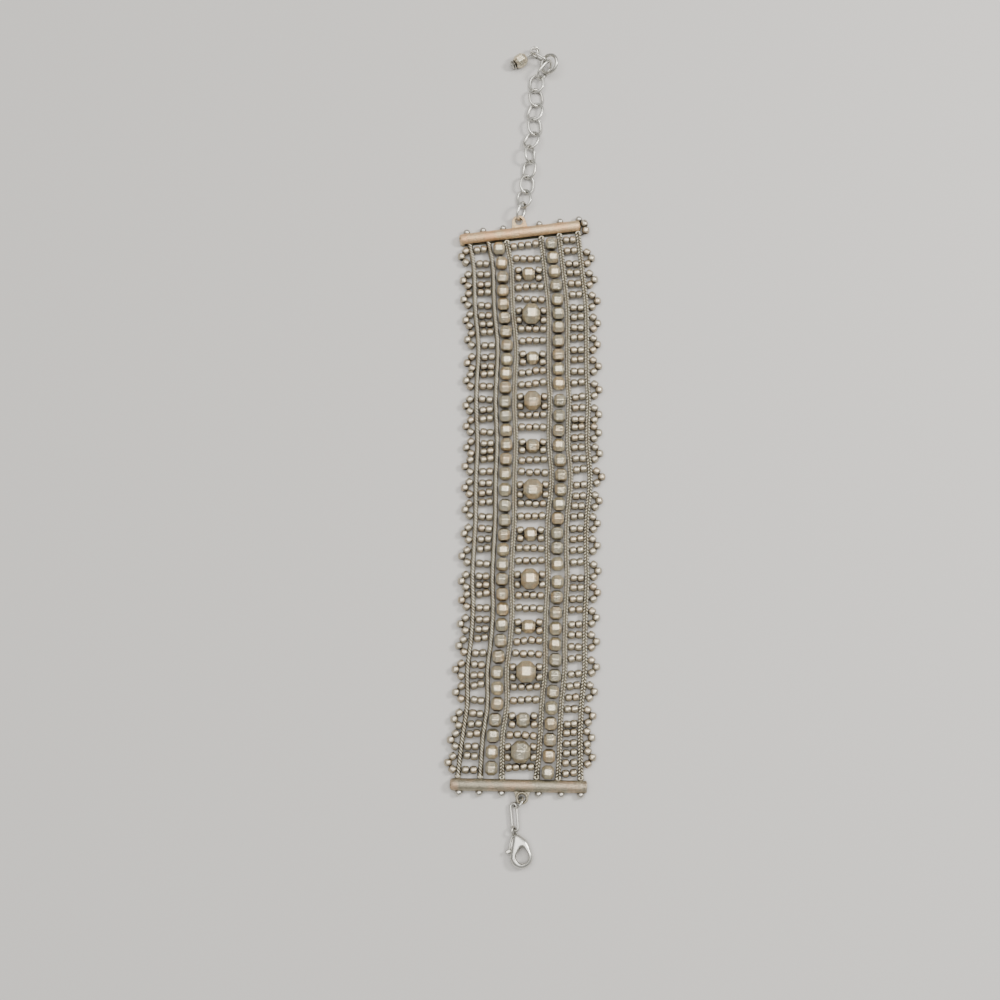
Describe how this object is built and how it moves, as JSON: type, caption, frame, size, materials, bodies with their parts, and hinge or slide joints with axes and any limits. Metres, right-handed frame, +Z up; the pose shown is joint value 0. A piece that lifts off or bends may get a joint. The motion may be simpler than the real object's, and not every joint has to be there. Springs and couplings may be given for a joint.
{
  "type": "beaded cuff bracelet",
  "caption": "Flexible bracelet of corded strands laced with rows of small round beads and columns of cut beads between two end bars, with a lobster clasp and an extension chain.",
  "frame": {"origin": "centre of the whole bracelet's outline as it lies open, on the table that it lies on", "axes": "+Y along the bracelet from the clasp to the extension chain, +X across it to the right as seen from above, +Z up from the table"},
  "size_m": [0.045, 0.2394, 0.0057],
  "materials": {
    "bar_metal": "antique silver, grained and softly polished",
    "cord_metal": "antique silver, twisted plies with dark crevices",
    "seed_metal": "polished silver plate",
    "cut_metal": "polished silver plate, faceted",
    "chain_metal": "bright polished silver",
    "clasp_metal": "bright polished silver"
  },
  "bodies": {
    "bracelet": {"top_bar": "bar_metal", "bottom_bar": "bar_metal", "cord_1": "cord_metal", "cord_2": "cord_metal", "cord_3": "cord_metal", "cord_4": "cord_metal", "cord_5": "cord_metal", "cord_6": "cord_metal", "left_seed_rows": "seed_metal", "centre_seed_rows": "seed_metal", "right_seed_rows": "seed_metal", "left_edge_loops": "seed_metal", "right_edge_loops": "seed_metal", "left_cut_beads": "cut_metal", "right_cut_beads": "cut_metal", "centre_bead_1": "cut_metal", "centre_bead_2": "cut_metal", "centre_bead_3": "cut_metal", "centre_bead_4": "cut_metal", "centre_bead_5": "cut_metal", "centre_bead_6": "cut_metal", "centre_bead_7": "cut_metal", "centre_bead_8": "cut_metal", "centre_bead_9": "cut_metal", "centre_bead_10": "cut_metal", "centre_bead_11": "cut_metal", "centre_bead_12": "cut_metal", "chain_link_1": "chain_metal", "chain_link_2": "chain_metal", "chain_link_3": "chain_metal", "chain_link_4": "chain_metal", "chain_link_5": "chain_metal", "chain_link_6": "chain_metal", "chain_link_7": "chain_metal", "chain_link_8": "chain_metal", "chain_link_9": "chain_metal", "chain_link_10": "chain_metal", "chain_link_11": "chain_metal", "end_ring": "chain_metal", "drop_link": "chain_metal", "drop_pin": "chain_metal", "drop_bead": "cut_metal", "clasp_ring": "chain_metal", "clasp_link": "chain_metal", "clasp_body": "clasp_metal"},
    "lever": {"clasp_lever": "clasp_metal"}
  },
  "joints": [
    {"name": "lever_swing", "type": "hinge", "parent": "bracelet", "child": "lever", "pos_m": [-0.00269, -0.11252, 0.0014], "axis": [0, 0, 1], "range_deg": [0, 20], "stiffness_Nm_per_rad": 0.0002, "springref_deg": -5.73}
  ]
}
